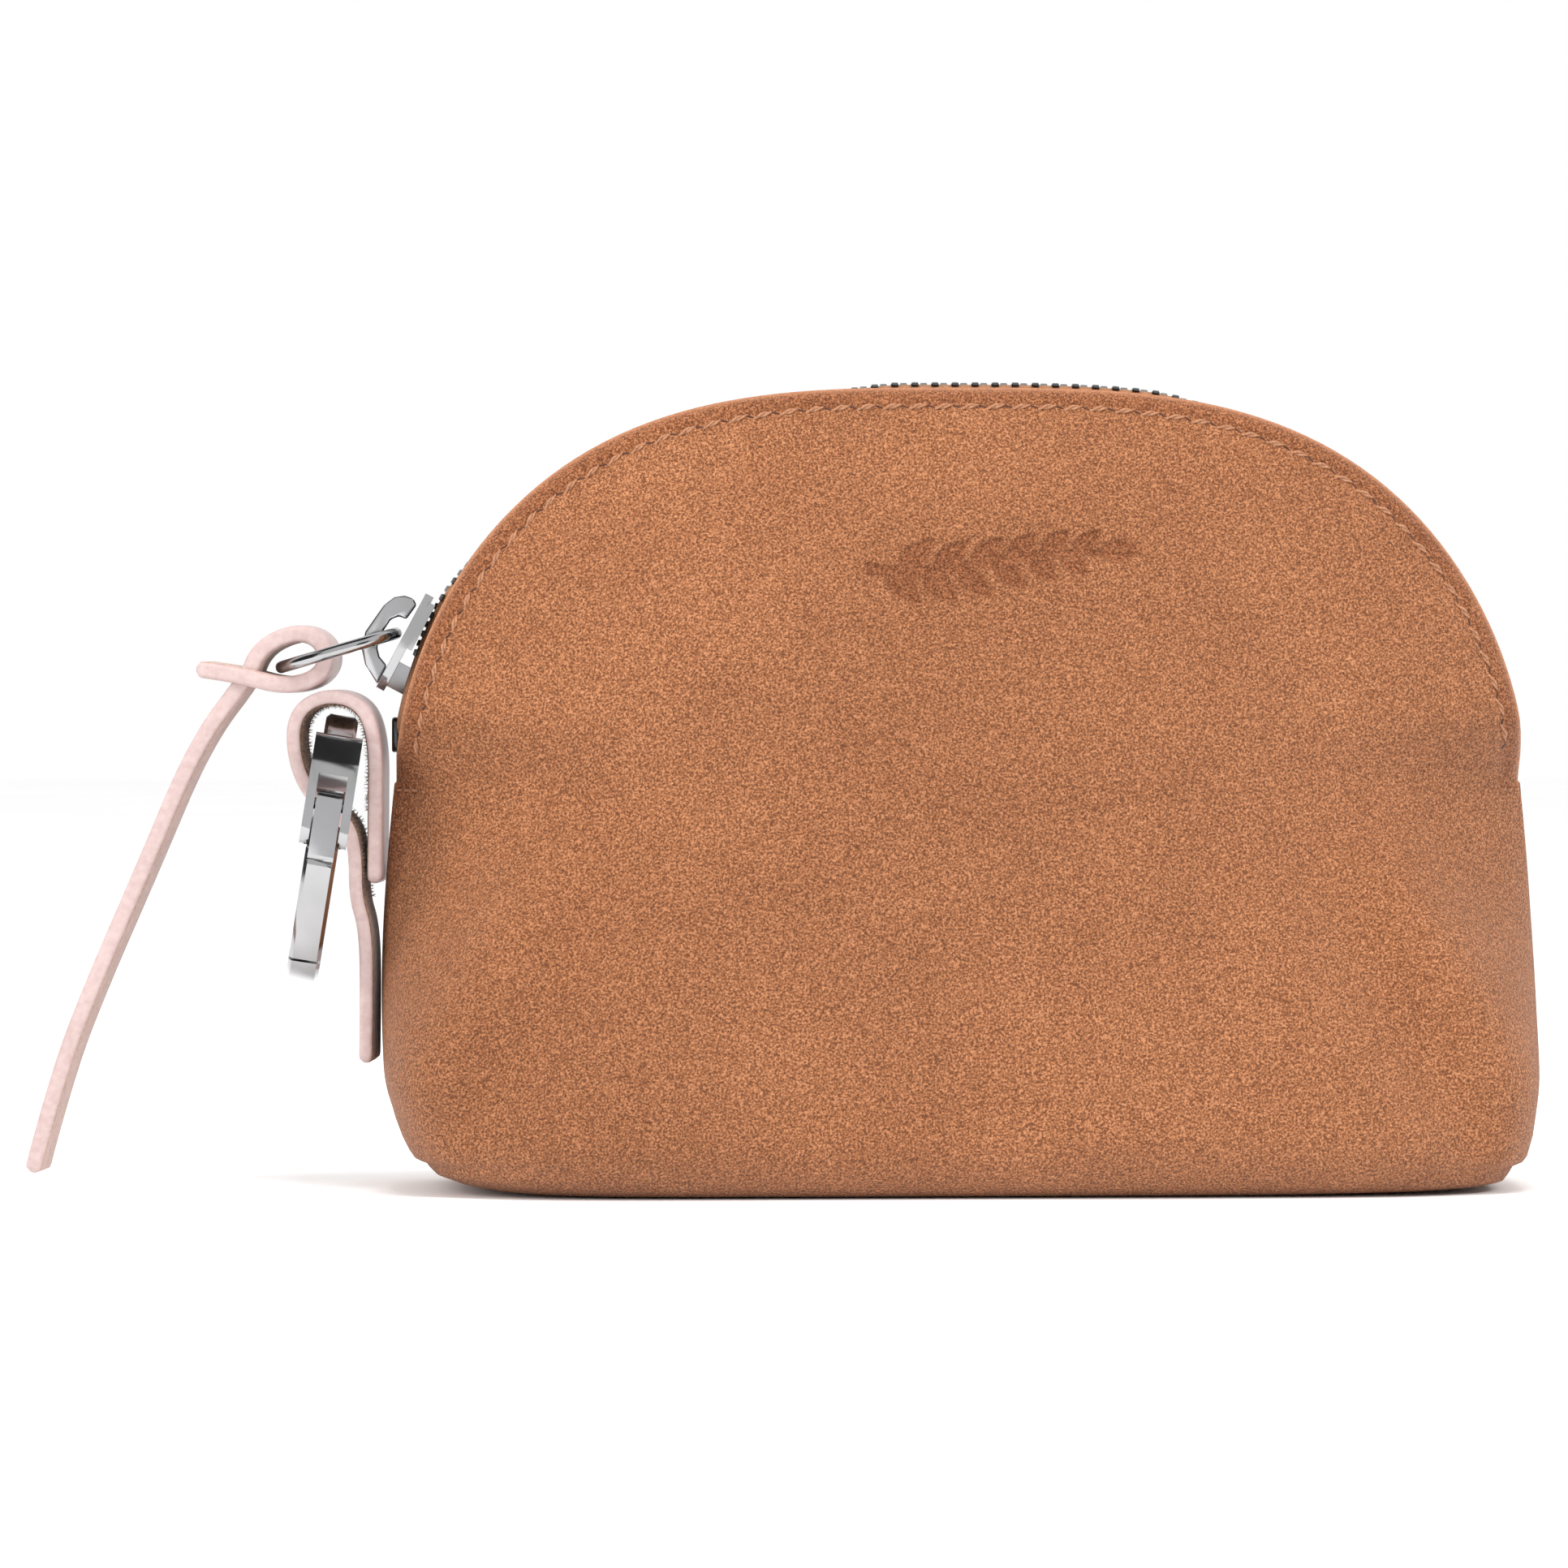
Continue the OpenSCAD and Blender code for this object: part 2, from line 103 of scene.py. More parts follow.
def smooth(t):
    t = np.clip(t, 0, 1)
    return t * t * (3 - 2 * t)


def arch_top(x, k=0.0):
    r = np.clip(np.abs(x) / (ARCH_A - k), 0, 1)
    return ARCH_Z + (ARCH_B - k) * (1 - r**P) ** (1 / Q)


def arch_x(z, k=0.0):
    r = np.clip((z - ARCH_Z) / (ARCH_B - k), 0, 1)
    return (ARCH_A - k) * (1 - r**Q) ** (1 / P)


def wide(z):
    low = ARCH_A + 1.8 * np.sin(np.pi * (ARCH_Z - z) / 56)
    return np.where(z < ARCH_Z, low, arch_x(z))


def deep(z):
    r = np.clip(z / (ARCH_Z + ARCH_B), 0, 1)
    return EDGE + (DEPTH - EDGE) * (1 - r**1.9) ** 0.87


def roll(z, k):
    return np.where(z >= ROLL_R, 0, 1 - np.sqrt(np.maximum(0, 1 - ((ROLL_R - z) / (ROLL_R - k)) ** 2)))


def exp_n(z):
    """Exponent across of the section at height z."""
    return 2.3 + 4 * (1 - smooth(z / 45))


def exp_m(z):
    """Exponent in depth of the section at height z."""
    return 1.15 + 2.6 * (1 - smooth(z / 48))


# half widths of the two ends near the base, with the small step of the boxed corner's seam
ENDS = {
    -1: (
        (0, 56.5), (0.5, 60.3), (1, 62.4), (2, 65.2), (3, 66.2), (3.5, 66.5),
        (4, 67.9), (5, 68.6), (6.6, 69.4), (9, 70.3), (12, 70.9), (15, 71.3),
    ),
    1: (
        (0, 52.5), (0.25, 62), (0.5, 65.3), (1, 67.2), (2, 67.9), (2.9, 68.4),
        (3.3, 69.5), (4, 70.1), (6.6, 70.8), (9, 71.1), (12, 71.4), (15, 71.6),
    ),
}


def end_width(z, sgn):
    """Half width of one end: from the table at the base, easing into the bulged side above."""
    zs, ws = zip(*ENDS[sgn])
    t = smooth((z - 9) / 6)
    return np.interp(z, zs, ws) * (1 - t) + wide(z) * t


def zip_gap(z):
    """Distance from the middle plane to the leather's outer face along the seam and zip edge."""
    closed = 0.03
    return closed + (EDGE - closed) * smooth((z - FOLD + 1) / 10.5)


def face_depth(x, z, half_width):
    """Distance from the middle plane to a leaf's outer face, before the slack is added."""
    r = np.clip(np.abs(x) / np.maximum(0.01, half_width), 0, 1)
    gap = zip_gap(z)
    return gap + (deep(z) - gap) * np.maximum(0, 1 - r**2.3) ** 0.87


def slack(x, y, z, side):
    """Depth y with the leather's softness: folds up from the boxed corners, and gentle waves."""
    out = np.zeros_like(x)
    (ax, az), (bx, bz) = CREASE_FROM, CREASE_TO
    length = math.hypot(bx - ax, bz - az)
    dx, dz = (bx - ax) / length, (bz - az) / length
    for sgn, gain in ((1, 1.0), (-1, 0.8)):
        px, pz = sgn * x - ax, z - az
        along = px * dx + pz * dz
        off = px * dz - pz * dx
        env = smooth(along / 9) * (1 - smooth((along - 30) / 22))
        ridge = 2.7 * np.exp(-(((off - 5.5) / 5.5) ** 2))
        valley = 2.4 * np.exp(-(((off + 4.5) / 5.0) ** 2))
        out += gain * env * (ridge - valley)
    flat = smooth(z / 10) * (1 - smooth((z - 88) / 10))
    broad = 0.55 * np.sin(x / 17.0 + 0.6 * side) * np.sin(z / 13.0 + 0.4)
    small = 0.3 * np.sin(x / 7.5 + z / 11.0 + side)
    return y + (out + flat * (broad + small)) * smooth((y - 2) / 8)


def stitch_dist(x, z):
    """Signed distance inwards from the arched edge, roughly, in mm."""
    r = np.clip(np.abs(x) / ARCH_A, 1e-4, 1)
    v = np.clip((z - ARCH_Z) / ARCH_B, 1e-4, 2)
    f = r**P + v**Q
    gx = P * r ** (P - 1) / ARCH_A
    gz = Q * v ** (Q - 1) / ARCH_B
    return (1 - f) / np.maximum(1e-3, np.hypot(gx, gz))


def sprig(x, z):
    """Depth of a generic leafy sprig pressed in the front."""
    u, v = x - 3.0, z - 77.4

    def bend(t):
        return 1.2 * np.sin(t / 6.5)

    stem = np.abs(v - bend(u)) - 0.3 - 0.012 * (15 - u)
    depth = (np.abs(u) < 15.5) * np.clip(0.8 - stem / 0.35, 0, 1)
    leaves = [
        (start + (1.6 if s > 0 else 0), s * (44 - 0.8 * i), 5.9 - 0.32 * i)
        for i, start in enumerate((-13.0, -8.6, -4.2, 0.2, 4.4, 8.4))
        for s in (-1, 1)
    ]
    leaves.append((13.2, 8.0, 5.4))
    for start, angle, size in leaves:
        turned = math.radians(angle)
        du, dv = u - start, v - float(bend(start))
        along = du * math.cos(turned) + dv * math.sin(turned)
        off = np.abs(-du * math.sin(turned) + dv * math.cos(turned))
        half = 0.25 * size * np.sin(np.pi * np.clip(along / size, 0, 1) ** 0.75)
        inside = np.clip(0.6 - (off - half) / 0.4, 0, 1) * (along > 0) * (along < size)
        vein = np.clip(1 - off / 0.26, 0, 1) * (along > 0.4) * (along < size * 0.85)
        depth = np.maximum(depth, inside * (1 - 0.6 * vein))
    return PRESS * depth


def grid_columns(fine):
    """Fractions across the arch, closer together at the ends and, if fine, where the sprig is."""
    x = ARCH_A * np.sin(np.linspace(-1, 1, 97) * np.pi / 2)
    if fine:
        x = np.concatenate([x[(x < -14) | (x > 20)], np.arange(-14, 20.01, 0.23)])
    return np.sort(x)


def grid_rows(fine):
    """Heights as fractions from the fold to the arch."""
    steps = (np.linspace(0, 0.9, 34)[:-1], np.linspace(0.9, 0.985, 12)[:-1], np.linspace(0.985, 1, 5))
    v = np.concatenate(steps)
    if fine:
        v = np.sort(np.concatenate([v[(v < 0.42) | (v > 0.70)], np.linspace(0.42, 0.70, 60)]))
    return v


def side_grid(k, floor, side, inset=0.0, fine=False):
    """Points of one side, k inside the leather's face, from the base's middle up to the arch."""
    cols = grid_columns(fine)
    cos_t = np.sign(cols) * np.clip(np.abs(cols) / ARCH_A, 0, 1) ** (exp_n(FOLD) / 2)
    cos_t[np.abs(cos_t) > 0.9999] = np.sign(cos_t[np.abs(cos_t) > 0.9999])
    sin_t = np.sqrt(np.maximum(0, 1 - cos_t**2))
    rows = []

    def section(z, zk):
        d = deep(z) - k - (ROLL_Y - k) * roll(zk, k)
        low = z - k * smooth((8 - z) / 8)
        w = np.where(cos_t < 0, end_width(low, -1), end_width(low, 1)) - k
        x = w * np.sign(cos_t) * np.abs(cos_t) ** (2 / exp_n(z))
        g = zip_gap(z)
        y = g + (d - g) * sin_t ** (2 / exp_m(z))
        return x, y, np.full_like(x, float(z))

    first = section(np.array(floor), floor)
    for s in np.linspace(0, 1, 12)[:-1]:
        rows.append((first[0] * (0.96 + 0.04 * s), SEAM + (first[1] - SEAM) * s, first[2]))
    for a in np.linspace(0, np.pi / 2, 44):
        z = floor + (ROLL_R - floor) * (1 - math.cos(a))
        rows.append(section(np.array(z), z))
    for z in np.linspace(ROLL_R, FOLD, 44)[1:]:
        rows.append(section(np.array(z), z))
    x0, base_y, _ = rows[-1]
    xu = x0 / np.abs(x0).max() * (ARCH_A - inset - 0.06)
    for v in grid_rows(fine)[1:]:
        z = FOLD + (arch_top(xu, inset) - FOLD) * v
        y = face_depth(xu, z, arch_x(z)) - k * 1.05
        ease = smooth(v / 0.06)
        y = base_y * (1 - ease) + y * ease if v < 0.06 else y
        x = x0 + (xu - x0) * smooth(v / 0.1)
        rows.append((x, np.maximum(y, SEAM), z))
    x, y, z = (np.array(part) for part in zip(*rows))
    return np.stack([x, side * np.maximum(SEAM, slack(x, y, z, side)), z], -1)


def make(name, verts, faces, mats, face_mats=None, smooth_shade=True):
    mesh = bpy.data.meshes.new(name)
    points = [tuple(v) for v in np.asarray(verts, float) * MM]
    mesh.from_pydata(points, [], [tuple(int(i) for i in f) for f in faces])
    for m in mats:
        mesh.materials.append(m)
    if face_mats is not None:
        mesh.polygons.foreach_set("material_index", np.asarray(face_mats, np.int32))
    mesh.polygons.foreach_set("use_smooth", [smooth_shade] * len(mesh.polygons))
    mesh.update()
    obj = bpy.data.objects.new(name, mesh)
    bpy.context.scene.collection.objects.link(obj)
    return obj


def fix_normals(obj):
    bm = bmesh.new()
    bm.from_mesh(obj.data)
    bmesh.ops.recalc_face_normals(bm, faces=bm.faces)
    bm.to_mesh(obj.data)
    bm.free()
    return obj


def tube_faces(rings, m, base=0):
    """Faces of a closed tube: rings of m points each, the first ring starting at index base."""
    faces = []
    for i in range(rings - 1):
        a, b = base + i * m, base + (i + 1) * m
        for j in range(m):
            k = (j + 1) % m
            faces.append((a + j, a + k, b + k, b + j))
    last = base + (rings - 1) * m
    return faces + [tuple(range(base, base + m)), tuple(range(last + m - 1, last - 1, -1))]


def slab(name, outer, inner, mats, inner_mat=0):
    """Closed sheet between two grids of the same size."""
    rows, cols = outer.shape[:2]
    n = rows * cols
    idx = np.arange(n).reshape(rows, cols)
    a, b, c, d = idx[:-1, :-1], idx[:-1, 1:], idx[1:, 1:], idx[1:, :-1]
    front = np.stack([a, b, c, d], -1).reshape(-1, 4)
    back = front[:, ::-1] + n
    faces = [front, back]
    fm = [np.zeros(len(front), int), np.full(len(back), inner_mat)]
    for line in (idx[0], idx[-1], idx[:, 0], idx[:, -1]):
        rim = np.stack([line[:-1], line[1:], line[1:] + n, line[:-1] + n], -1)
        faces.append(rim)
        fm.append(np.zeros(len(rim), int))
    verts = np.concatenate([outer.reshape(-1, 3), inner.reshape(-1, 3)])
    return fix_normals(make(name, verts, np.concatenate(faces), mats, np.concatenate(fm)))


def attribute(obj, name, values):
    at = obj.data.attributes.new(name, "FLOAT", "POINT")
    at.data.foreach_set("value", np.asarray(values, np.float32))


# ---- materials ----


def material(name):
    m = bpy.data.materials.new(name)
    m.use_nodes = True
    return m, m.node_tree, m.node_tree.nodes["Principled BSDF"]


def surface(bsdf, **values):
    """Set plain inputs of the surface, named with _ for each space."""
    for key, value in values.items():
        bsdf.inputs[key.replace("_", " ")].default_value = value


def node(nt, kind, **values):
    n = nt.nodes.new(kind)
    for key, value in values.items():
        setattr(n, key, value)
    return n


def coords(nt):
    return node(nt, "ShaderNodeTexCoord").outputs["Object"]


def noise(nt, scale, detail=2.0, rough=0.5):
    n = node(nt, "ShaderNodeTexNoise")
    n.inputs["Scale"].default_value = scale
    n.inputs["Detail"].default_value = detail
    n.inputs["Roughness"].default_value = rough
    nt.links.new(coords(nt), n.inputs["Vector"])
    return n.outputs["Fac"]


def painted(nt, name):
    """A value stored at the mesh's points."""
    return node(nt, "ShaderNodeAttribute", attribute_name=name).outputs["Fac"]


def ramp(nt, fac, stops):
    n = node(nt, "ShaderNodeValToRGB")
    e = n.color_ramp.elements
    while len(e) < len(stops):
        e.new(0.5)
    for el, (pos, col) in zip(e, stops):
        el.position = pos
        el.color = (*col, 1)
    nt.links.new(fac, n.inputs["Fac"])
    return n.outputs["Color"]


def feed(nt, n, values):
    """Link or set each numbered input of a node."""
    for key, value in values:
        if isinstance(value, bpy.types.NodeSocket):
            nt.links.new(value, n.inputs[key])
        else:
            n.inputs[key].default_value = value


def mix(nt, fac, a, b, mode="MIX"):
    """Mix two colours; inputs 6 and 7 and output 2 are the mix node's colour sockets."""
    n = node(nt, "ShaderNodeMix", data_type="RGBA", blend_type=mode)
    colours = [c if isinstance(c, bpy.types.NodeSocket) else (*c, 1) for c in (a, b)]
    feed(nt, n, ((0, fac), (6, colours[0]), (7, colours[1])))
    return n.outputs[2]


def maths(nt, op, a, b=0.0):
    n = node(nt, "ShaderNodeMath", operation=op)
    feed(nt, n, ((0, a), (1, b)))
    return n.outputs[0]


def bump(nt, bsdf, height, strength, distance):
    n = node(nt, "ShaderNodeBump")
    n.inputs["Strength"].default_value = strength
    n.inputs["Distance"].default_value = distance * MM
    nt.links.new(height, n.inputs["Height"])
    nt.links.new(n.outputs["Normal"], bsdf.inputs["Normal"])


def tan_leather():
    m, nt, b = material("tan_nubuck")
    grain = noise(nt, 3900, 2.0, 0.6)
    pores = node(nt, "ShaderNodeTexVoronoi", feature="SMOOTH_F1")
    pores.inputs["Scale"].default_value = 2900
    nt.links.new(coords(nt), pores.inputs["Vector"])
    cell = pores.outputs["Distance"]
    cloud = noise(nt, 55, 4.0, 0.6)
    blot = noise(nt, 19, 3.0, 0.55)
    tones = ((0.36, (0.13, 0.04, 0.0125)), (0.5, (0.266, 0.097, 0.0345)), (0.64, (0.475, 0.205, 0.095)))
    col = ramp(nt, grain, tones)
    drift = ramp(nt, cloud, [(0.3, (0.9, 0.87, 0.85)), (0.7, (1.06, 1.07, 1.08))])
    col = mix(nt, 0.8, col, drift, "MULTIPLY")
    patch = ramp(nt, blot, [(0.34, (0.9, 0.88, 0.86)), (0.66, (1.06, 1.06, 1.06))])
    col = mix(nt, 0.9, col, patch, "MULTIPLY")
    # darker along the seam allowance and in the pressed sprig, paler on the cut edge
    col = mix(nt, painted(nt, "band"), col, (0.86, 0.8, 0.76), "MULTIPLY")
    col = mix(nt, painted(nt, "press"), col, (0.8, 0.72, 0.68), "MULTIPLY")
    col = mix(nt, painted(nt, "cut"), col, (0.44, 0.19, 0.095))
    nt.links.new(col, b.inputs["Base Color"])
    surface(b, Roughness=0.62, Specular_IOR_Level=0.35)
    surface(b, Sheen_Weight=0.08, Sheen_Roughness=0.5, Sheen_Tint=(1, 0.8, 0.68, 1))
    h = maths(nt, "ADD", maths(nt, "MULTIPLY", grain, 0.7), cell)
    bump(nt, b, h, 1.0, 0.42)
    return m


def suede(name, dark, light, scale=1400, strength=0.9):
    m, nt, b = material(name)
    a = noise(nt, scale, 4.0, 0.7)
    c = noise(nt, scale / 6, 3.0, 0.6)
    col = ramp(nt, a, [(0.3, dark), (0.7, light)])
    patch = ramp(nt, c, [(0.3, (0.75, 0.72, 0.7)), (0.7, (1.1, 1.1, 1.1))])
    col = mix(nt, 0.5, col, patch, "MULTIPLY")
    nt.links.new(col, b.inputs["Base Color"])
    surface(b, Roughness=0.95, Specular_IOR_Level=0.15, Sheen_Weight=0.25)
    bump(nt, b, a, strength, 0.3)
    return m


def pink_leather():
    m, nt, b = material("pink_leather")
    a = noise(nt, 1100, 3.0, 0.55)
    c = noise(nt, 120, 2.0, 0.5)
    col = ramp(nt, a, [(0.3, (0.43, 0.31, 0.295)), (0.7, (0.495, 0.385, 0.37))])
    patch = ramp(nt, c, [(0.35, (0.93, 0.91, 0.9)), (0.65, (1.04, 1.04, 1.04))])
    col = mix(nt, 0.5, col, patch, "MULTIPLY")
    nt.links.new(col, b.inputs["Base Color"])
    surface(b, Roughness=0.42, Specular_IOR_Level=0.4)
    bump(nt, b, a, 0.14, 0.1)
    return m


def gunmetal(name="gunmetal", tone=0.43, rough=0.15):
    m, nt, b = material(name)
    a = noise(nt, 900, 2.0, 0.5)
    c = noise(nt, 150, 2.0, 0.5)
    col = ramp(nt, c, [(0.3, (tone * 0.86,) * 3), (0.7, (tone, tone, tone * 1.03))])
    nt.links.new(col, b.inputs["Base Color"])
    surface(b, Metallic=1.0)
    r = node(nt, "ShaderNodeMapRange")
    nt.links.new(a, r.inputs["Value"])
    r.inputs["To Min"].default_value = rough * 0.8
    r.inputs["To Max"].default_value = rough * 1.3
    nt.links.new(r.outputs["Result"], b.inputs["Roughness"])
    bump(nt, b, c, 0.03, 0.1)
    return m


def cloth(name, dark, light, pitch, strength=0.6):
    """Woven cloth: two crossed waves of the given thread pitch in mm."""
    m, nt, b = material(name)
    sep = node(nt, "ShaderNodeSeparateXYZ")
    nt.links.new(coords(nt), sep.inputs[0])
    k = 2 * math.pi / (pitch * MM)
    x, y, z = sep.outputs
    warp = maths(nt, "ADD", x, z)
    weft = maths(nt, "ADD", y, maths(nt, "SUBTRACT", z, x))
    waves = [maths(nt, "SINE", maths(nt, "MULTIPLY", way, k)) for way in (warp, weft)]
    w = maths(nt, "MULTIPLY", *waves)
    fuzz = noise(nt, 2500, 3.0, 0.6)
    h = maths(nt, "ADD", maths(nt, "MULTIPLY", w, 0.5), fuzz)
    col = ramp(nt, maths(nt, "MULTIPLY_ADD", w, 0.5), [(0.0, dark), (1.0, light)])
    col = mix(nt, 0.4, col, ramp(nt, fuzz, [(0.3, dark), (0.7, light)]))
    nt.links.new(col, b.inputs["Base Color"])
    surface(b, Roughness=0.9, Specular_IOR_Level=0.2)
    bump(nt, b, h, strength, 0.12)
    return m


def thread_material():
    m, nt, b = material("brown_thread")
    a = noise(nt, 3500, 3.0, 0.6)
    col = ramp(nt, a, [(0.3, (0.24, 0.1, 0.048)), (0.7, (0.44, 0.215, 0.115))])
    nt.links.new(col, b.inputs["Base Color"])
    surface(b, Roughness=0.6)
    bump(nt, b, a, 0.4, 0.05)
    return m


TAN = tan_leather()
FLESH = suede("tan_flesh", (0.20, 0.10, 0.055), (0.36, 0.2, 0.12))
PINK = pink_leather()
PINK_SUEDE = suede("pink_suede", (0.36, 0.225, 0.19), (0.52, 0.37, 0.325), 1500, 0.6)
# the loop's flesh side and its fibres: raw brown flesh, made darker than the pull strap's flesh with
# painted shade inside the loop
SHADED_FUZZ = suede("loop_flesh_shaded", (0.10, 0.045, 0.022), (0.34, 0.19, 0.115), 1300, 1.2)
METAL = gunmetal()
DARK = gunmetal("black_metal", 0.06, 0.22)
TEETH = gunmetal("tooth_metal", 0.12, 0.3)
LINING = cloth("lining_cloth", (0.16, 0.09, 0.06), (0.28, 0.17, 0.115), 0.5)
TAPE = cloth("zip_tape", (0.22, 0.095, 0.045), (0.40, 0.21, 0.12), 0.6)
THREAD = thread_material()
# the needle holes are dark plugs at the surface: painted shade inside each hole
HOLE_SHADE = suede("needle_hole_shade", (0.05, 0.018, 0.01), (0.09, 0.035, 0.018))
BOARD = suede("base_board", (0.12, 0.11, 0.1), (0.2, 0.19, 0.18), 700, 0.3)

# ---- the leather sides and their lining ----


def fold(obj):
    """Bake a piece's transform; it stays unparented, and the pouch's empty is made if missing."""
    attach(obj, "pouch")
    obj.parent = None
    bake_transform(obj)


SIDES = ((-1, "front"), (1, "back"))

for side, word in SIDES:
    fine = side < 0
    outer = side_grid(0.0, 0.0, side, 0.0, fine)
    inner = side_grid(LEATHER, LEATHER, side, 0.0, fine)
    x, z = outer[..., 0], outer[..., 2]
    dist = stitch_dist(x, z)
    up = smooth((z - FOLD + 2) / 3)
    groove = 0.28 * np.exp(-(((dist - STITCH_IN) / 0.75) ** 2)) * up
    # the cut edge is slightly thinned and rounded over
    nose = 0.45 * np.exp(-((dist / 0.55) ** 2)) * up
    press = sprig(x, z) if side < 0 else np.zeros_like(x)
    outer[..., 1] -= side * (groove + nose + press)
    leather = slab(f"{word}_leather", outer, inner, [TAN, FLESH], 1)
    zero = np.zeros(dist.size)
    band = (smooth((2.9 - dist) / 0.9) * up).ravel()
    attribute(leather, "band", np.concatenate([band, zero]))
    attribute(leather, "press", np.concatenate([np.clip(press / PRESS, 0, 1).ravel(), zero]))
    cut = (np.exp(-((dist / 0.35) ** 2)) * up).ravel()
    attribute(leather, "cut", np.concatenate([cut, cut * 0.6]))
    fold(leather)
    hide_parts(f"{word}_panel", f"{word}_leaf")

    # lining, a little creased, stops short of the zip
    l_outer = side_grid(LEATHER + 0.25, LEATHER + 1.8, side, 7.0)
    l_inner = side_grid(LEATHER + 0.85, LEATHER + 2.4, side, 7.0)
    lx, lz = l_inner[..., 0], l_inner[..., 2]
    crease = 0.35 * (1 + np.sin(lx / 4.1 + 1.3 * np.sin(lz / 6.0))) * smooth((lz - 6) / 10)
    l_inner[..., 1] -= side * crease
    lining = slab(f"{word}_lining", l_outer, l_inner, [LINING])
    fold(lining)
    body_too = ["body_lining"] if side < 0 else []
    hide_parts(f"{word}_leaf_lining", *body_too)

# ---- zip path ----


def path_of(k, n=1400):
    """The arch's outline moved in by k, from left to right: X, Z and the length so far."""
    t = np.linspace(0, np.pi, n)
    c, s = -np.cos(t), np.sin(t)
    x = (ARCH_A - k) * np.sign(c) * np.abs(c) ** (2 / P)
    z = ARCH_Z + (ARCH_B - k) * np.maximum(s, 0) ** (2 / Q)
    length = np.concatenate([[0], np.cumsum(np.hypot(np.diff(x), np.diff(z)))])
    return x, z, length


def on_path(path, s):
    """Point, direction and outward normal at length s."""
    x, z, length = path
    around = (s, s - 0.5, s + 0.5)
    p, a, b = (np.array([np.interp(t, length, x), np.interp(t, length, z)]) for t in around)
    d = (b - a) / max(1e-6, np.linalg.norm(b - a))
    return p, d, np.array([-d[1], d[0]])


ZIP = path_of(0.2)
ZIP_LEN = ZIP[2][-1]
TEETH_FROM, TEETH_TO = 14.4, ZIP_LEN - 10


def sweep(path, s_values, profile, side):
    """Closed tube along the zip; profile points are (distance from the middle plane, height)."""
    verts = []
    for s in s_values:
        p, d, up = on_path(path, s)
        squeeze = float(np.clip((zip_gap(p[1]) - 1.4) / (EDGE - 1.6), 0.03, 1))
        p = p + up * sink(p[0])
        for y, h in profile:
            verts.append((p[0] - d[1] * h, side * y * squeeze, p[1] + d[0] * h))
    return verts, tube_faces(len(s_values), len(profile))


def sink(x):
    """Height of the zip: it lies lower but for the arch's middle and beside the parked slider."""
    off_middle = smooth((abs(x - 8) - 15) / 14)
    off_slider = smooth((x + 65) / 7)
    right_end = 1 - 0.55 * smooth((x - 54) / 8)
    return -0.1 - 1.3 * off_middle * off_slider * right_end


def tape_profile():
    top = [
        (0.72, 0.35), (0.85, 0.68), (1.15, 0.8), (1.5, 0.7), (1.8, 0.35),
        (3.4, 0.22), (4.2, 0.0), (4.68, -0.9), (4.74, -3), (4.74, -4.8),
    ]
    low = [
        (0.9, -0.3), (1.15, -0.45), (1.5, -0.4), (1.8, -0.2), (3.3, -0.25),
        (3.95, -0.45), (4.26, -1.0), (4.3, -3), (4.3, -4.8),
    ]
    return top + low[::-1]


def tooth_template():
    """One tooth in (along, across, up): two legs on the tape and a rounded head with a dimple."""
    turns = [math.radians(a) for a in np.linspace(-80, 80, 9)]
    prof = [(0.28 + 0.42 * math.cos(a), 0.85 * math.sin(a)) for a in turns]
    prof += [
        (-0.3, 1.0), (-0.7, 1.1), (-1.5, 1.12), (-2.0, 1.0), (-2.05, 0.75), (-1.75, 0.75),
        (-1.3, 0.9), (-0.8, 0.75), (-0.62, 0.2), (-0.8, -0.5), (-1.3, -0.62), (-1.75, -0.5),
        (-2.05, -0.5), (-2.0, -0.9), (-1.5, -1.05), (-0.7, -1.05), (-0.3, -1.0),
    ]
    half, chamfer, middle = 0.46, 0.12, -0.8
    rings = [(-half, 0.82), (-half + chamfer, 1.0), (half - chamfer, 1.0), (half, 0.82)]
    verts = [
        (u, middle + (y - middle) * (0.94 if g < 1 else 1), h * g) for u, g in rings for y, h in prof
    ]
    return np.array(verts), tube_faces(len(rings), len(prof))


for side, word in SIDES:
    s_values = np.arange(2.5, ZIP_LEN - 2.5, 0.7)
    verts, faces = sweep(ZIP, s_values, tape_profile(), side)
    tape = fix_normals(make(f"{word}_zip_tape", verts, faces, [TAPE]))
    fold(tape)
    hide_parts(f"{word}_tape")
    tv, tf = tooth_template()
    count = int((TEETH_TO - TEETH_FROM) / TOOTH_PITCH)
    verts, faces = [], []
    for i in range(count):
        # the back row is half a pitch on, so the two rows mesh
        s = TEETH_FROM + (i + (0 if side < 0 else 0.5)) * TOOTH_PITCH
        p, d, up = on_path(ZIP, s)
        p = p + up * sink(p[0])
        base = len(verts)
        for u, v, w in tv:
            verts.append((p[0] + d[0] * u - d[1] * w, -side * v, p[1] + d[1] * u + d[0] * w))
        faces += [tuple(base + q for q in f) for f in tf]
    teeth = fix_normals(make(f"{word}_zip_teeth", verts, faces, [TEETH], smooth_shade=False))
    fold(teeth)
    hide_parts(f"{word}_teeth")

# ---- stitches ----


def surface_y(x, z, side):
    """Outer face of the leather in the leaf area."""
    x, z = np.array([x]), np.array([z])
    return float(slack(x, face_depth(x, z, arch_x(z)), z, side)[0])


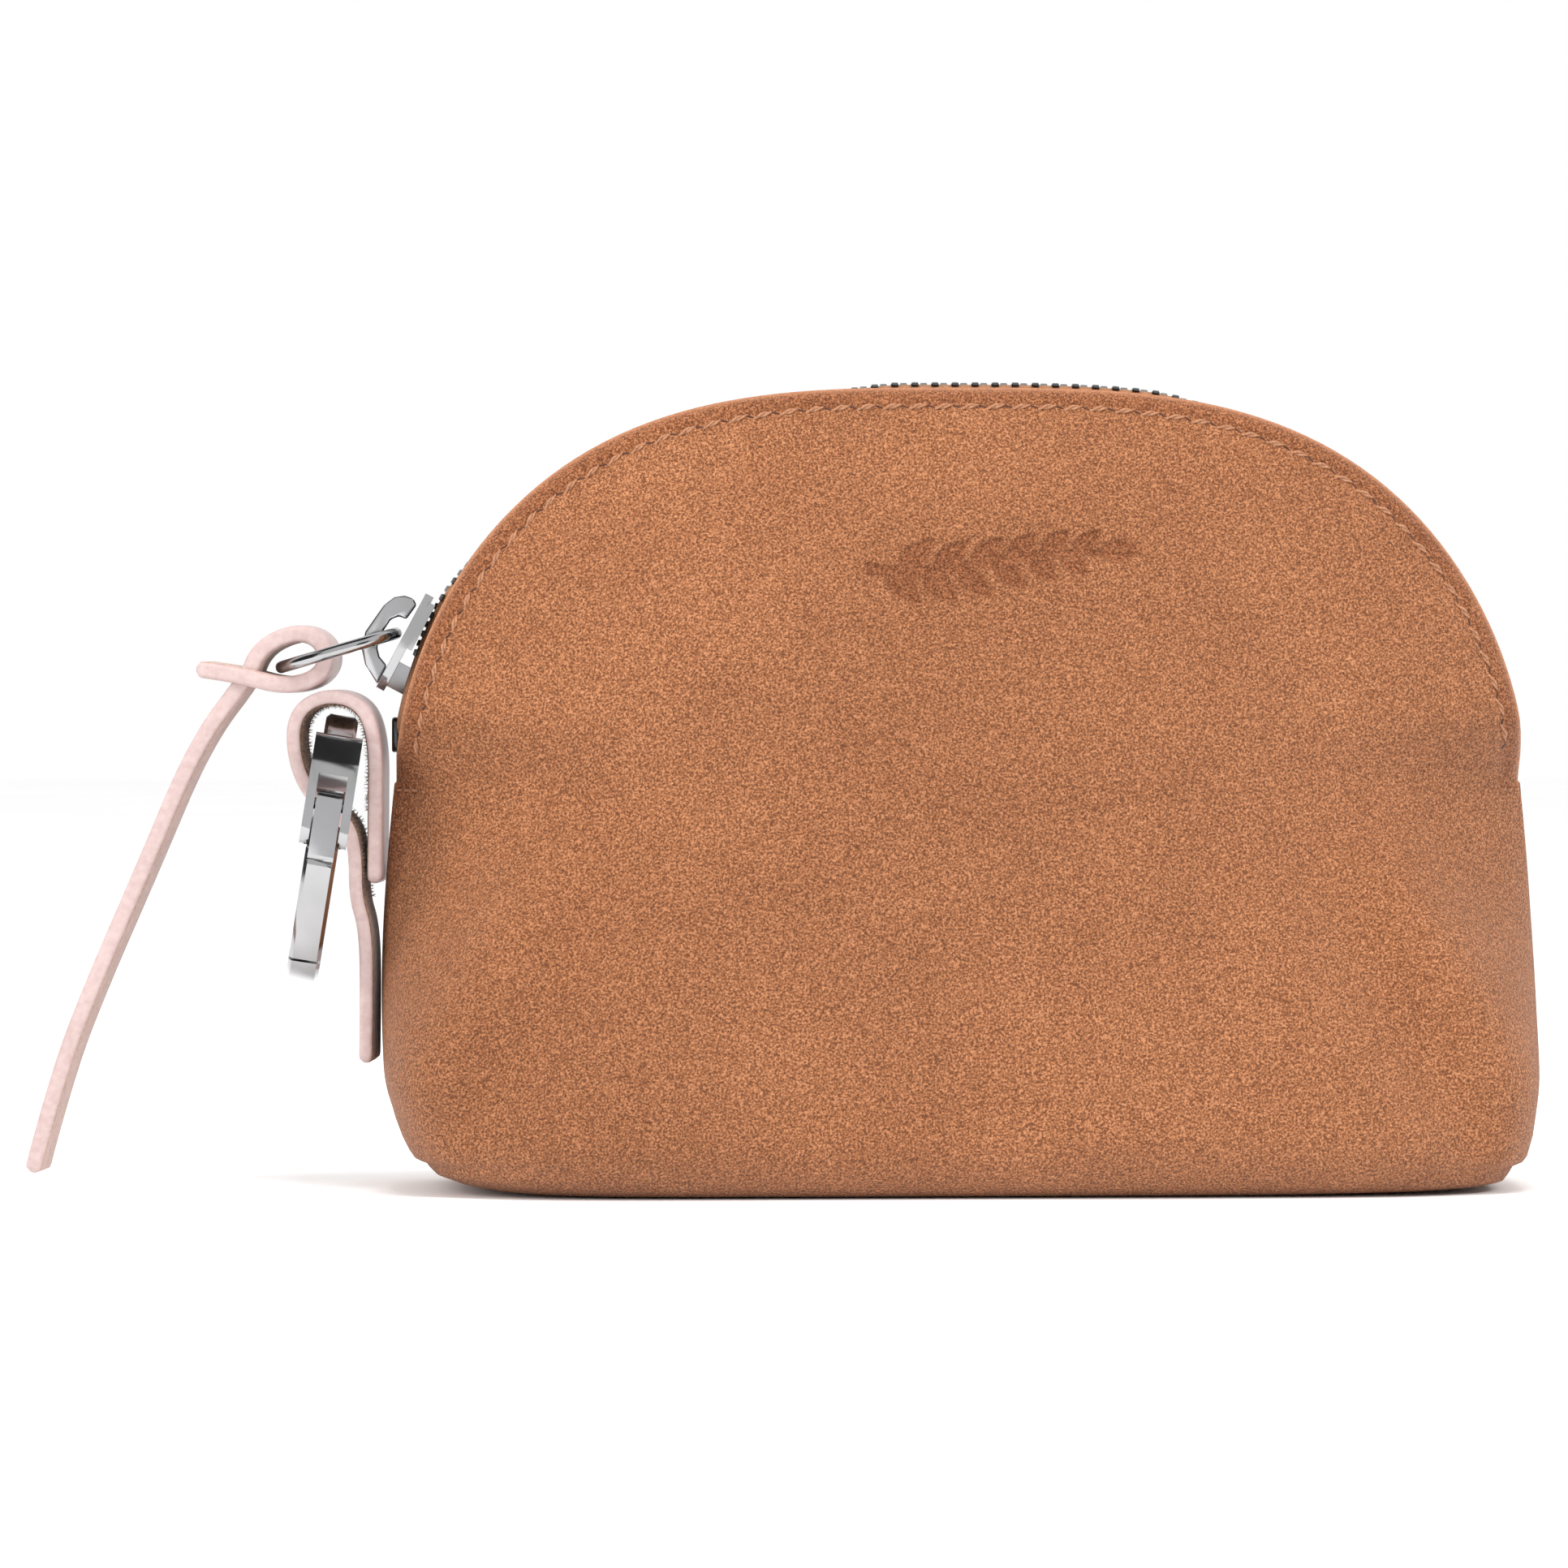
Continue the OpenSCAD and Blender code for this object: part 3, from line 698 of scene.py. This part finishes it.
def twisted(verts, faces, p0, p1, normal, radius, turns, lift):
    """One stitch: two plies wound round each other, sunk at both ends."""
    p0, p1, normal = np.array(p0), np.array(p1), np.array(normal) / np.linalg.norm(normal)
    axis = p1 - p0
    length = np.linalg.norm(axis)
    axis = axis / length
    side_dir = np.cross(axis, normal)
    steps, ring = 12, 6
    for ply in range(2):
        base = len(verts)
        for i in range(steps + 1):
            t = i / steps
            hump = math.sin(math.pi * t) ** 0.6
            phase = ply * math.pi + turns * 2 * math.pi * t
            thick = radius * (0.45 + 0.55 * math.sin(math.pi * (0.06 + t * 0.88)))
            centre = p0 + axis * length * t + normal * (lift * hump - (1 - hump) * 0.25)
            away = side_dir * math.cos(phase) + normal * math.sin(phase)
            centre = centre + away * radius * 0.62 * hump
            for j in range(ring):
                a = 2 * math.pi * j / ring
                verts.append(centre + (side_dir * math.cos(a) + normal * math.sin(a)) * thick * 0.72)
        faces += tube_faces(steps + 1, ring, base)


def slit(verts, faces, centre, axis, normal, length, width, depth):
    """A small slit where the needle went in, dark with painted shade."""
    centre, axis, normal = np.array(centre), np.array(axis), np.array(normal)
    side_dir = np.cross(axis, normal)
    base = len(verts)
    n = 10
    for lift, g in ((-depth, 1.0), (0.04, 1.0), (0.07, 0.6)):
        for j in range(n):
            a = 2 * math.pi * j / n
            along = axis * math.cos(a) * length / 2 * g
            across = side_dir * math.sin(a) * width / 2 * g
            verts.append(centre + along + across + normal * lift)
    faces += tube_faces(3, n, base)


STITCH = path_of(STITCH_IN)
STITCH_COUNT = int((STITCH[2][-1] - 2) / STITCH_PITCH)
HALF_STITCH = 1.28
for side, word in SIDES:
    verts, faces, hole_verts, hole_faces = [], [], [], []
    for i in range(STITCH_COUNT):
        p, d, out = on_path(STITCH, 1 + (i + 0.5) * STITCH_PITCH)
        ends = []
        for q in (p - d * HALF_STITCH - out * 0.3, p + d * HALF_STITCH + out * 0.3):
            ends.append((q[0], side * (surface_y(*q, side) - 0.22), q[1]))
        e = 0.6
        gx = (surface_y(p[0] + e, p[1], side) - surface_y(p[0] - e, p[1], side)) / (2 * e)
        gz = (surface_y(p[0], p[1] + e, side) - surface_y(p[0], p[1] - e, side)) / (2 * e)
        normal = np.array([-gx, side, -gz])
        normal = normal / np.linalg.norm(normal)
        twisted(verts, faces, *ends, normal, 0.27, 0.8, 0.12)
        # the needle slit leans the other way, between this stitch and the next
        q = p + d * STITCH_PITCH / 2
        lean = d * 0.9 - out * 0.44
        lean = np.array([lean[0], 0.0, lean[1]])
        lean = lean - normal * lean.dot(normal)
        lean = lean / np.linalg.norm(lean)
        centre = (q[0], side * (surface_y(*q, side) - 0.3), q[1])
        slit(hole_verts, hole_faces, centre, lean, normal, 1.25, 0.3, 0.15)
    stitches = fix_normals(make(f"{word}_edge_stitches", verts, faces, [THREAD]))
    fold(stitches)
    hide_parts(f"{word}_stitches")
    holes = fix_normals(make(f"{word}_needle_holes", hole_verts, hole_faces, [HOLE_SHADE]))
    fold(holes)

# ---- metal parts that keep the CAD shape, with broken edges ----


def softened(node_name, body, mat, width, segments=2):
    """A copy of a CAD node with its sharp edges rounded by the width given."""
    mesh = frame["nodes"][node_name].data.copy()
    obj = bpy.data.objects.new(f"{node_name}_finished", mesh)
    bpy.context.scene.collection.objects.link(obj)
    bm = bmesh.new()
    bm.from_mesh(mesh)
    bmesh.ops.remove_doubles(bm, verts=bm.verts, dist=2e-6)
    bmesh.ops.dissolve_limit(bm, angle_limit=math.radians(0.8), verts=bm.verts, edges=bm.edges)
    bmesh.ops.recalc_face_normals(bm, faces=bm.faces)
    bm.to_mesh(mesh)
    bm.free()
    mesh.materials.clear()
    mesh.materials.append(mat)
    mesh.polygons.foreach_set("use_smooth", [True] * len(mesh.polygons))
    if width:
        mod = obj.modifiers.new("bevel", "BEVEL")
        mod.width = width * MM
        mod.segments = segments
        mod.limit_method = "ANGLE"
        mod.angle_limit = math.radians(32)
        mod.use_clamp_overlap = True
        mod.harden_normals = True
    bpy.context.view_layer.objects.active = obj
    dg = bpy.context.evaluated_depsgraph_get()
    new = bpy.data.meshes.new_from_object(obj.evaluated_get(dg))
    obj.modifiers.clear()
    obj.data = new
    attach(obj, body)
    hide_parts(node_name)


softened("slider_body", "slider", METAL, 0.22, 3)
softened("slider_hook", "slider", METAL, 0.35, 3)
softened("zip_end_clip", "pouch", DARK, 0.3, 2)
softened("pull_ring", "pull_link", METAL, 0)
softened("ring_frame", "key_ring", METAL, 0.35, 3)
softened("ring_gate", "gate", METAL, 0.3, 3)
softened("gate_pin", "key_ring", METAL, 0.15, 2)
softened("gate_spring", "key_ring", METAL, 0.08, 2)
softened("base_stiffener", "pouch", BOARD, 0.3, 2)

# ---- leather straps ----


def curve(points, m=10):
    """A smooth line that the points pull towards them, from the first to the last."""
    pts = [np.array(p, float) for p in points]
    n = len(pts) - 1
    out = [pts[0]]
    for i in range(1, n):
        a = pts[0] if i == 1 else (pts[i - 1] + pts[i]) / 2
        c = pts[n] if i == n - 1 else (pts[i] + pts[i + 1]) / 2
        for j in range(1, m + 1):
            t = j / m
            out.append(a * (1 - t) ** 2 + pts[i] * 2 * t * (1 - t) + c * t * t)
    return np.array(out)


def even(points, step):
    """The same line with points at an even spacing, and the length up to each."""
    length = np.concatenate([[0], np.cumsum(np.hypot(*np.diff(points, axis=0).T))])
    s = np.linspace(0, length[-1], max(4, int(length[-1] / step)))
    return np.stack([np.interp(s, length, column) for column in points.T], -1), s


def strap(name, points, t, width, mats, body, nodes, skew, seed=1):
    """A leather strap along a path in X and Z. Its left is its flesh side; skew turns it to the right."""
    pts, s = even(points, 0.45)
    d = np.gradient(pts, axis=0)
    d = d / np.linalg.norm(d, axis=1)[:, None]
    left = np.stack([-d[:, 1], d[:, 0]], -1)
    rng = np.random.RandomState(seed)
    verts = []
    h = t / 2
    r = min(0.55, h * 0.7)
    prof = []
    for cy, cn, a0 in ((1, 1, 0), (-1, 1, 90), (-1, -1, 180), (1, -1, 270)):
        for a in np.linspace(a0, a0 + 90, 5):
            prof.append((cy, cn, math.cos(math.radians(a)), math.sin(math.radians(a))))
    m = len(prof)
    for i, p in enumerate(pts):
        hw = width(s[i]) / 2
        end = min(s[i], s[-1] - s[i])
        rnd = math.sqrt(max(0, 1 - (1 - min(1, end / 0.9)) ** 2))
        rough = 0.03 * rng.randn()
        for cy, cn, ca, sa in prof:
            y = cy * (hw - r) + ca * r
            nn = (cn * (h - r) + sa * r) * (0.35 + 0.65 * rnd)
            y *= 0.9 + 0.1 * rnd
            verts.append((p[0] + left[i][0] * nn + skew * y, y + rough, p[1] + left[i][1] * nn))
    flesh = [cn > 0 and sa > 0.6 for _, cn, _, sa in prof]
    around = [int(flesh[j] and flesh[(j + 1) % m]) for j in range(m)]
    face_mats = around * (len(pts) - 1) + [0, 0]
    obj = fix_normals(make(name, verts, tube_faces(len(pts), m), mats, face_mats))
    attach(obj, body)
    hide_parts(*nodes)
    return pts, left


PULL_T, LOOP_T, LOOP_W = 2.1, 1.8, 10.0
PULL_SKEW, LOOP_SKEW = 0.13, 0.1
HEAD_LEN, HEAD_W, TAIL_W = 17.0, 9.0, 7.4

# the pull strap's route is from the axis that it swings on
axle = np.array(JOINTS["pull_strap_swing"]["pos_m"])[[0, 2]] / MM
HEAD = [
    (-9.9, -0.2), (-4.6, -0.9), (0.6, -2.4), (4.6, -1.6), (6.3, 0.6),
    (5.4, 3.4), (2.6, 4.4), (-0.8, 3.2), (-2.7, 1.4),
]
TAIL = [(-3.6, -1), (-10, -9.4), (-16.5, -24.8), (-22.9, -39.4), (-27.2, -50.6), (-30.3, -62.4)]
LOOP = [
    (-72.35, 37.8), (-72.25, 48), (-72.25, 55.5), (-73.8, 60.0), (-78.3, 61.2), (-82.3, 58.8),
    (-82.2, 52.8), (-79.8, 48), (-75.6, 45.6), (-74.6, 41.5), (-74.6, 36), (-73.5, 32.6),
    (-73.2, 26), (-73.4, 15.6),
]


def pull_width(s):
    return HEAD_W - (HEAD_W - TAIL_W) * float(smooth((s - HEAD_LEN) / 8))


def loop_width(s):
    return LOOP_W


pull_route = curve([axle + np.array(p) for p in HEAD + TAIL])
pull_look = [PINK, PINK_SUEDE]
strap("pull_strap_leather", pull_route, PULL_T, pull_width, pull_look, "pull", ["pull_strap"], PULL_SKEW)
loop_pts, loop_left = strap(
    "key_loop_leather", curve(LOOP), LOOP_T, loop_width, [PINK, SHADED_FUZZ], "pouch", ["key_loop"], LOOP_SKEW, 3
)

# loose fibres on the flesh side inside the loop
rng = np.random.RandomState(7)
fv, ff = [], []
for _ in range(2200):
    i = rng.randint(20, len(loop_pts) - 45)
    y = rng.uniform(-4.9, 4.9)
    if rng.rand() < 0.55:
        y = rng.choice([-1, 1]) * rng.uniform(4.2, 4.95)
    root = loop_pts[i] + loop_left[i] * 0.86
    base = np.array([root[0] + LOOP_SKEW * y, y, root[1]])
    way = np.array([loop_left[i][0], 0, loop_left[i][1]]) + rng.normal(0, 0.5, 3)
    tip = base + way / np.linalg.norm(way) * rng.uniform(0.25, 0.75)
    w = np.cross(tip - base, rng.normal(0, 1, 3))
    w = w / np.linalg.norm(w) * 0.04
    w2 = np.cross(tip - base, w)
    w2 = w2 / np.linalg.norm(w2) * 0.04
    b = len(fv)
    fv += [base + w, base - w * 0.5 + w2 * 0.87, base - w * 0.5 - w2 * 0.87, tip]
    ff += [(b, b + 1, b + 3), (b + 1, b + 2, b + 3), (b + 2, b, b + 3), (b, b + 2, b + 1)]
fibres = fix_normals(make("key_loop_fibres", fv, ff, [SHADED_FUZZ]))
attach(fibres, "pouch")

# the loop is sewn down through both plies
lv, lf = [], []
lo, hi = box("loop_stitches")
for y in np.linspace(lo[1] + 0.3, hi[1] - 0.3, 3):
    twisted(lv, lf, (hi[0] + 0.12, y, lo[2]), (hi[0] + 0.02, y, hi[2]), (-1, 0, 0), 0.24, 0.9, 0.1)
tack = fix_normals(make("loop_seam", lv, lf, [THREAD]))
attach(tack, "pouch")
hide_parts("loop_stitches")

# ---- short back-tacks at the zip ends ----

bv, bf = [], []
TACK_STEP, TACK_Z = 0.95, FOLD - 0.8
for sgn in (-1, 1):
    for side in (-1, 1):
        for i in range(3):
            start = ARCH_A - 2.6 + TACK_STEP * i
            ends = []
            for x, z in ((sgn * start, TACK_Z), (sgn * (start + TACK_STEP - 0.15), TACK_Z + 0.1)):
                y = float(face_depth(x, TACK_Z, wide(TACK_Z))) + 0.05
                ends.append((x, side * y, z))
            twisted(bv, bf, *ends, (sgn * 0.4, side, 0), 0.22, 0.6, 0.1)
tacks = fix_normals(make("back_tacks", bv, bf, [THREAD]))
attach(tacks, "pouch")

# ---- floor, light and camera ----


def plain(name, colour, rough):
    m, nt, b = material(name)
    lighter = tuple(min(1, c * 1.02) for c in colour)
    col = ramp(nt, noise(nt, 8, 2.0, 0.5), [(0.3, colour), (0.7, lighter)])
    nt.links.new(col, b.inputs["Base Color"])
    surface(b, Roughness=rough)
    return m


bpy.ops.mesh.primitive_plane_add(size=6, location=(0, 0, -0.0002))
floor = bpy.context.object
floor.name = "floor"
floor.data.materials.append(plain("pale_floor", (0.96, 0.96, 0.96), 0.8))

bpy.context.scene.view_settings.view_transform = "Standard"
world = bpy.data.worlds.new("studio")
bpy.context.scene.world = world
world.use_nodes = True
sky = world.node_tree.nodes["Background"]
sky.inputs["Color"].default_value = (1, 1, 1, 1)
sky.inputs["Strength"].default_value = 1.0


def facing(place, target, axis, up="Y"):
    return (Vector(target) - Vector(place)).to_track_quat(axis, up).to_euler()


def area(name, place, size, power):
    light = bpy.data.lights.new(name, "AREA")
    light.shape = "RECTANGLE"
    light.size, light.size_y = size
    light.energy = power
    obj = bpy.data.objects.new(name, light)
    obj.location = place
    obj.rotation_euler = facing(place, (0, 0, 0.05), "-Z")
    obj.visible_glossy = False
    bpy.context.scene.collection.objects.link(obj)


# places and sizes of the lights and cards are in metres
area("key", (0.75, -0.6, 0.75), (0.35, 0.35), 5)
area("fill", (-0.7, -0.5, 0.35), (0.35, 0.6), 4.5)
area("top", (0.05, -0.32, 0.85), (0.4, 0.25), 4.5)

# dark cards, seen only by polished metal
CARDS = (
    ("card_left", (-0.5, -0.12, 0.05), (0.5, 0.9)),
    ("card_top", (-0.12, 0.0, 0.42), (0.3, 0.42)),
    ("card_right", (0.42, -0.5, 0.1), (0.3, 0.6)),
    ("card_low", (-0.3, -0.45, -0.1), (0.5, 0.12)),
)
for label, place, size in CARDS:
    bpy.ops.mesh.primitive_plane_add(size=1, location=place)
    card = bpy.context.object
    card.name = label
    card.scale = (*size, 1)
    card.rotation_euler = facing(place, (-0.08, 0, 0.05), "Z")
    card.data.materials.append(plain(label, (0.012, 0.012, 0.012), 0.9))
    card.visible_camera = card.visible_diffuse = card.visible_shadow = False

# the view spans the object with its straps; the camera is far off and level with the pouch's middle
lo, hi = np.array(cad[0]) / MM, np.array(cad[1]) / MM
span = (hi[0] - lo[0]) * 1.041
mid_x = (lo[0] + hi[0]) / 2
lens, sensor = 180.0, 36.0
distance = lens / sensor * span
turn = math.radians(-3.0)
rise = math.radians(1.0)
target = np.array([mid_x, 0.0, (lo[2] + hi[2]) / 2 - 0.1])
cam_data = bpy.data.cameras.new("camera")
cam_data.lens = lens
cam_data.sensor_width = sensor
cam_data.clip_start, cam_data.clip_end = 0.05, 20
cam = bpy.data.objects.new("camera", cam_data)
bpy.context.scene.collection.objects.link(cam)
flat = math.cos(rise)
back = np.array([math.sin(turn) * flat, -math.cos(turn) * flat, math.sin(rise)])
cam.location = (target + back * distance) * MM
cam.rotation_euler = Vector(-back).to_track_quat("-Z", "Y").to_euler()
bpy.context.scene.camera = cam
